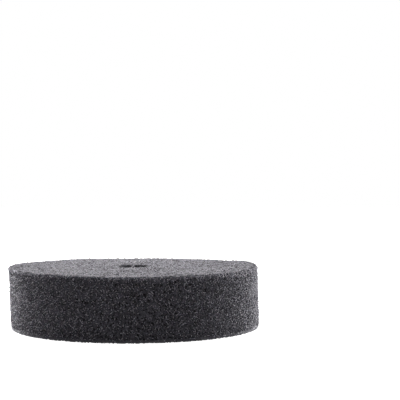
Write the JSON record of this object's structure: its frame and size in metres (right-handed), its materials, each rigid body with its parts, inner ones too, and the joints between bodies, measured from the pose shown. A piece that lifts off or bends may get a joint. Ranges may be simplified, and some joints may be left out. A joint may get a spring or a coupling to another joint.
{
  "type": "polishing pad",
  "caption": "Round foam polishing pad with a blind centre hole in its working face and a loop fabric backing that grips a polisher's hook plate.",
  "frame": {"origin": "centre of the backing's underside, which the pad rests on", "axes": "+Z along the pad's axis, out of the foam's working face; the pad is round, so X and Y are free"},
  "size_m": [0.15, 0.15, 0.0365],
  "materials": {
    "open_cell_foam": "matte",
    "adhesive_film": "satin",
    "loop_fabric": "matte"
  },
  "bodies": {
    "root": {"foam_disc": "open_cell_foam", "adhesive_film": "adhesive_film", "loop_backing": "loop_fabric"}
  },
  "joints": []
}
